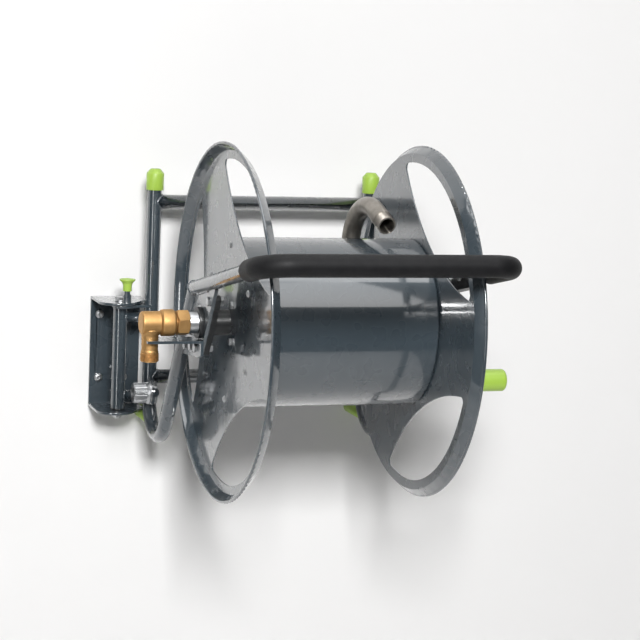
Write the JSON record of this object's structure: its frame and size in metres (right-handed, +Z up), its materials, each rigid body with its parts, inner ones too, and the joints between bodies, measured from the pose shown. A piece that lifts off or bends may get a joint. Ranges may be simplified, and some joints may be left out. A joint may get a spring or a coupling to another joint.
{
  "type": "wall-mounted swivel hose reel",
  "caption": "Wall-mounted metal hose reel: drum between two windowed discs in a tube frame that swings out on a lockable pivot, with an inlet elbow, outlet pipe and crank.",
  "frame": {"origin": "centre of the four wall screws, on the wall plane behind the bracket", "axes": "+X along the wall to the right, from the pivot towards the drum; +Y into the wall; +Z up"},
  "size_m": [0.5258, 0.6999, 0.504],
  "materials": {
    "anthracite_paint": "gloss powder coat",
    "green_plastic": "satin moulded",
    "black_plastic": "moulded",
    "foam": "matte closed-cell foam",
    "zinc": "zinc plated",
    "raw_steel": "raw pipe",
    "brass": "sand blasted"
  },
  "bodies": {
    "bracket": {"wall_bracket": "anthracite_paint", "wall_screws": "zinc", "pivot_bolt": "zinc", "pivot_nut": "zinc", "pin_sleeve": "anthracite_paint"},
    "lock": {"lock_pin": "anthracite_paint", "pin_knob": "green_plastic"},
    "frame": {"side_tube_left": "anthracite_paint", "side_tube_right": "anthracite_paint", "upper_crossbar": "anthracite_paint", "lower_crossbar": "anthracite_paint", "tube_caps": "green_plastic", "wall_buffers": "green_plastic", "handle_bow": "anthracite_paint", "foam_grip": "foam", "pivot_tube": "anthracite_paint", "pivot_bushes": "black_plastic", "pivot_stubs": "anthracite_paint", "index_plate": "anthracite_paint", "axle_plate_left": "anthracite_paint", "axle_plate_right": "anthracite_paint", "bearing_left": "black_plastic", "bearing_right": "black_plastic", "bearing_bolts": "zinc", "torque_bracket": "anthracite_paint", "torque_bolts": "zinc", "inlet_elbow": "brass", "inlet_collar": "brass", "parking_nipple": "zinc", "nipple_holder": "anthracite_paint", "brake_block": "black_plastic", "brake_bolts": "zinc"},
    "drum": {"drum_shell": "anthracite_paint", "disc_left": "anthracite_paint", "disc_right": "anthracite_paint", "disc_rivets": "zinc", "hub_left": "black_plastic", "hub_right": "black_plastic", "hub_bolts": "zinc", "hollow_axle": "zinc", "stub_axle": "zinc", "retaining_ring": "zinc", "union_nut": "brass", "inner_elbow": "raw_steel", "gooseneck": "raw_steel", "crank_arm": "anthracite_paint", "crank_spindle": "zinc", "crank_nut": "zinc"},
    "grip": {"crank_grip": "green_plastic"}
  },
  "joints": [
    {"name": "frame_swing", "type": "hinge", "parent": "bracket", "child": "frame", "pos_m": [0, -0.0585, 0], "axis": [0, 0, 1], "range_deg": [-90, 0]},
    {"name": "pin_lift", "type": "slide", "parent": "bracket", "child": "lock", "axis": [0, 0, 1], "range_m": [-0.0055, 0]},
    {"name": "drum_spin", "type": "hinge", "parent": "frame", "child": "drum", "pos_m": [0.222, -0.352, 0.087], "axis": [1, 0, 0], "continuous": true},
    {"name": "grip_spin", "type": "hinge", "parent": "drum", "child": "grip", "pos_m": [0.222, -0.40388, 0.00861], "axis": [1, 0, 0], "continuous": true}
  ]
}
